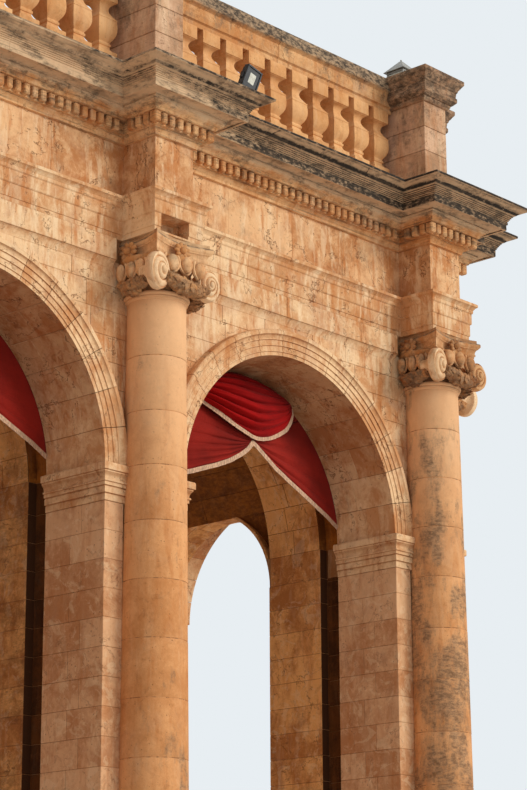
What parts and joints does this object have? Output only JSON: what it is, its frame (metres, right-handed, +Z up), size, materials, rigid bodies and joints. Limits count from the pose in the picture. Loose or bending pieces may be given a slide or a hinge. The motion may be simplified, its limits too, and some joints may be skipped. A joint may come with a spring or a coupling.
{
  "type": "arcaded stone pavilion with roof terrace",
  "caption": "Free-standing classical stone arcade with engaged Ionic columns, vaulted passages, a breaking entablature, red draped curtains and a balustraded roof terrace.",
  "frame": {"origin": "centre of the footprint at floor level", "axes": "+X along the long arcaded fronts, +Y from the front to the rear, +Z up"},
  "size_m": [15.21, 7.22, 11.135],
  "materials": {
    "piers": "dressed limestone, matt",
    "vault": "rough dark limestone, matt",
    "wall": "dressed limestone, matt",
    "moulding": "dressed limestone, matt",
    "column": "dressed limestone, matt",
    "entablature": "dressed limestone, matt",
    "cornice": "weathered limestone, matt",
    "parapet": "dressed limestone, matt",
    "paving": "worn paving slabs",
    "cloth": "woven damask, soft sheen",
    "lamp_black": "satin black paint",
    "lantern_metal": "dull grey paint"
  },
  "bodies": {
    "root": {"piers_front": "piers", "piers_rear": "piers", "cross_walls_inner": "vault", "cross_walls_end": "vault", "imposts_front": "moulding", "imposts_rear": "moulding", "imposts_cross": "moulding", "spandrels_front_outer": "wall", "spandrel_front_centre": "wall", "spandrels_rear_outer": "wall", "spandrel_rear_centre": "wall", "archivolts_front": "moulding", "archivolts_rear": "moulding", "archivolts_end": "moulding", "wall_heads_inner": "vault", "wall_heads_end": "vault", "vaults": "vault", "roof_fill": "vault", "terrace_deck": "paving", "column_pedestals": "column", "column_bases": "column", "column_shafts_front": "column", "column_shafts_rear": "column", "column_shafts_end": "column", "capitals": "column", "architrave_front": "entablature", "architrave_rear": "entablature", "architrave_ends": "entablature", "frieze_front": "entablature", "frieze_rear": "entablature", "frieze_ends": "entablature", "cornice_front": "cornice", "cornice_rear": "cornice", "cornice_ends": "cornice", "parapet_plinth": "parapet", "parapet_pedestals": "parapet", "corner_pedestals": "parapet", "balusters_front": "parapet", "balusters_rear": "parapet", "balusters_end": "parapet", "rails": "parapet", "curtains": "cloth", "floodlight": "lamp_black", "lantern_bodies": "lantern_metal", "lantern_roofs": "lantern_metal"}
  },
  "joints": []
}
